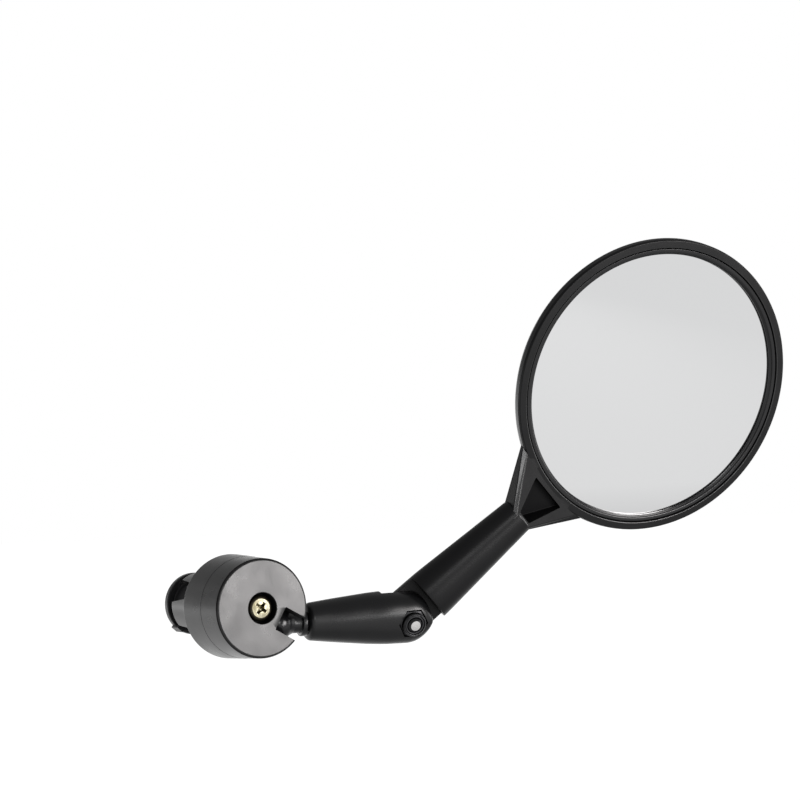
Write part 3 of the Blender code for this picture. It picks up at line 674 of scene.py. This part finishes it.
def upper_arm_shell():
    """Arm from the hinge's lug to its rounded end at the web, with the lap cut away."""
    rounding = 0.8 * MM
    keys = [(0, LUG_HALF_WIDTH, LUG_HALF_DEPTH, 2.4), (10 * MM, LUG_HALF_WIDTH, LUG_HALF_DEPTH, 2.15),
            (ARM_END, 5.1 * MM, 4.4 * MM, 2.1)]
    stations = [lug_end(0, -1, k) for k in range(LUG_STEPS - 1, 0, -1)]
    for k in range(19):
        x = (ARM_END - rounding) * k / 18
        stations.append((x, *between(keys, x)))
    for k in range(1, 6):
        angle = math.pi / 2 * k / 5
        inset = rounding * (1 - math.cos(angle))
        x = ARM_END - rounding + rounding * math.sin(angle)
        half_w, half_t, power = between(keys, x)
        stations.append((x, half_w - inset, half_t - inset, power))
    arm = loft("mirror_housing_shell", stations)
    cut(arm, block("lap", (-14 * MM, -12 * MM, -LAP_HALF_GAP), (8 * MM, 12 * MM, 12 * MM)))
    round_edges(arm, 0.25 * MM, angle=45)
    return arm


def back_shell():
    """Round dish behind the glass, with the rim's front at z = 0."""
    floor, step = -5.7 * MM, -4.1 * MM
    return turned("shell", [(0, floor), (37 * MM, floor), (37 * MM, step), (RIM_INNER_R, step),
                            (RIM_INNER_R, 0, 0.28 * MM), (42.0 * MM, 0, 0.3 * MM),
                            (RIM_R, -0.7 * MM, 0.4 * MM), (RIM_R, -2.6 * MM, 2.5 * MM),
                            (40.6 * MM, -5.9 * MM, 3.5 * MM), (37.0 * MM, -7.3 * MM, 4.0 * MM),
                            (20 * MM, -8.2 * MM, 30 * MM), (0, -8.6 * MM)], steps=256, loop=False)


def make_housing():
    """Upper arm, web and back shell in one moulding."""
    arm = upper_arm_shell()
    web = gusset()
    cut(web, moved(rod("gusset_end", 41.1 * MM, -20 * MM, 20 * MM, sides=160),
                   Matrix.Translation((MIRROR_X, 0, 0))))
    cut(arm, web, "UNION")
    cut(arm, moved(back_shell(), Matrix.Translation((MIRROR_X, 0, RIM_Z))), "UNION")
    pocket = prism("pocket", [(42.2 * MM, -2.3 * MM), (52.7 * MM, -8.0 * MM), (52.3 * MM, 4.8 * MM),
                              (42.2 * MM, 2.3 * MM)], -2.7 * MM, 9 * MM)
    round_edges(pocket, 0.35 * MM, angle=60)
    cut(arm, pocket)
    cut(arm, rod("bolt_bore", BOLT_BORE_R, -9 * MM, MM))
    cut(arm, rod("head_recess", 4.2 * MM, -9 * MM, -3.7 * MM))
    place(arm, KNUCKLE, "mirror_arm", HOUSING_BLACK, ["mirror_housing"])
    # Painted shade in the web's pocket; painted highlight on the web's chamfer, the arm's rounded end and the
    # rim's inner edge.
    repaint(arm, KNUCKLE, POCKET_SHADE, in_shaded_pocket)
    repaint(arm, KNUCKLE, BAND_HIGHLIGHT, on_painted_highlight)


def make_retaining_ring():
    top = -0.35 * MM
    ring = turned("retaining_ring", [(39.6 * MM, top, 0.1 * MM), (39.6 * MM, -1.45 * MM),
                                     (38.0 * MM, -1.45 * MM), (38.0 * MM, -0.95 * MM, 0.12 * MM),
                                     (38.45 * MM, -0.75 * MM), (38.6 * MM, -0.45 * MM, 0.1 * MM),
                                     (38.9 * MM, top)], steps=256)
    place(ring, MIRROR, "mirror_arm", RIM_BLACK, ["glass_retaining_ring"])


def make_glass():
    """Convex glass of even thickness, curved at a 600 mm radius."""
    glass_r, curve, edge, thick = 39.4 * MM, 600 * MM, -1.75 * MM, 2 * MM
    radii = [glass_r * i / 24 for i in range(25)]
    front = [(r, edge + (glass_r ** 2 - r ** 2) / (2 * curve)) for r in radii]
    back = [(r, z - thick) for r, z in front[::-1]]
    glass = turned("glass", front + back, steps=192, loop=False)
    place(glass, MIRROR, "mirror_arm", SILVER, ["mirror_glass"], angle=40)


def paint_pad():
    """The foam pad keeps its CAD shape, hidden behind the glass, and only gets its look."""
    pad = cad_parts["glass_foam_pad"]
    pad.data.materials.clear()
    pad.data.materials.append(FOAM)


def make_object():
    make_cap()
    make_base()
    make_screw()
    make_wedge()
    make_wedge_nut()
    make_stud()
    make_lower_arm()
    make_hinge_nut()
    make_hinge_bolt()
    make_housing()
    make_retaining_ring()
    make_glass()
    paint_pad()


# ---------------------------------------------------------------- studio

def area_light(name, aim, direction, distance, size, strength, color=(1, 1, 1), size_y=None):
    """Softbox that the camera doesn't see: strength is its brightness, whatever its size."""
    data = bpy.data.lights.new(name, "AREA")
    data.shape = "RECTANGLE"
    width, height = size, size_y or size
    data.size, data.size_y = width, height
    data.energy = strength * width * height * math.pi
    data.color = color
    light = bpy.data.objects.new(name, data)
    way = Vector(direction).normalized()
    light.location = Vector(aim) + way * distance
    light.rotation_mode = "QUATERNION"
    light.rotation_quaternion = way.to_track_quat("Z", "Y")
    light.visible_camera = False
    bpy.context.scene.collection.objects.link(light)


def make_floor():
    """A wide floor, pale by its own glow, brighter in front and behind than under the object."""
    build = bmesh.new()
    bmesh.ops.create_grid(build, x_segments=1, y_segments=1, size=30)
    floor = obj_from(build, "floor")
    floor.location.z = -0.42
    look, tree, shader = surface("floor_paper", (0.03, 0.03, 0.03), 0.9, specular=0.1)
    tree.links.new(ramp(tree, noise(tree, 3.0, 2.0), 0.3, 0.7, 0.88, 0.92), shader.inputs["Roughness"])
    shader.inputs["Emission Color"].default_value = (1, 1, 1, 1)
    axes = node(tree, "ShaderNodeSeparateXYZ")
    tree.links.new(node(tree, "ShaderNodeTexCoord").outputs["Object"], axes.inputs[0])
    glow = node(tree, "ShaderNodeMath", operation="ADD")
    tree.links.new(ramp(tree, axes.outputs["Y"], -0.54, -0.30, 0.74, 0.36), glow.inputs[0])
    tree.links.new(ramp(tree, axes.outputs["Y"], 0.0, 0.50, 0.0, 0.69), glow.inputs[1])
    tree.links.new(glow.outputs[0], shader.inputs["Emission Strength"])
    floor.data.materials.append(look)


def background(tree, strength):
    made = tree.nodes.new("ShaderNodeBackground")
    made.inputs["Color"].default_value = (1, 1, 1, 1)
    made.inputs["Strength"].default_value = strength
    return made.outputs[0]


def make_world():
    """White behind the object, and a dim room in the reflections."""
    world = bpy.data.worlds.new("studio")
    bpy.context.scene.world = world
    world.use_nodes = True
    tree = world.node_tree
    tree.nodes.clear()
    out = tree.nodes.new("ShaderNodeOutputWorld")
    mix = tree.nodes.new("ShaderNodeMixShader")
    path = tree.nodes.new("ShaderNodeLightPath")
    tree.links.new(path.outputs["Is Camera Ray"], mix.inputs[0])
    tree.links.new(background(tree, 0.26), mix.inputs[1])
    tree.links.new(background(tree, 1.0), mix.inputs[2])
    tree.links.new(mix.outputs[0], out.inputs["Surface"])


def make_lights():
    """Boxes for the head's face, wide strips behind the arms, and boxes for their highlights."""
    head = (0.0, -0.01, 0.0)
    arm = (0.06, -0.02, 0.02)
    warm = (1.0, 0.97, 0.965)
    area_light("face_box", head, (0.505, -0.862, 0.065), 1.2, 0.4, 8.3, warm)
    area_light("face_strip", head, (0.44, -0.89, 0.01), 1.2, 0.3, 6.3, warm, size_y=0.45)
    area_light("backdrop_low", arm, (0.25, 0.97, 0.0), 1.6, 2.6, 1.5, size_y=0.5)
    area_light("backdrop_high", arm, (0.25, 0.93, 0.27), 1.6, 2.6, 0.44, size_y=0.4)
    area_light("right_box", arm, (0.95, -0.30, 0.10), 1.3, 0.6, 1.9)
    area_light("patch_box", arm, (0.25, -0.95, -0.18), 1.2, 0.14, 10.0, size_y=0.26)
    area_light("edge_box", arm, (-0.235, -0.962, 0.125), 1.2, 0.3, 5.0)


def make_camera():
    """A long lens in front of the head, to its left, looking at the mirror's face."""
    place_at = (-0.21515, -0.46884, 0.02568)
    data = bpy.data.cameras.new("camera")
    data.lens = 85.5
    data.sensor_width = 36
    data.clip_start = 0.01
    camera = bpy.data.objects.new("camera", data)
    look = Vector((0.4977, 0.8656, 0.0552)).normalized()
    right = look.cross(Vector((0, -0.0636, 0.998))).normalized()
    up = right.cross(look)
    turn = Matrix((right, up, -look)).transposed().to_4x4()
    camera.matrix_world = Matrix.Translation(place_at) @ turn
    bpy.context.scene.collection.objects.link(camera)
    bpy.context.scene.camera = camera
    bpy.context.scene.view_settings.view_transform = "Standard"
    bpy.context.scene.view_settings.look = "None"


make_camera()
make_object()
make_floor()
make_world()
make_lights()
bpy.context.view_layer.update()
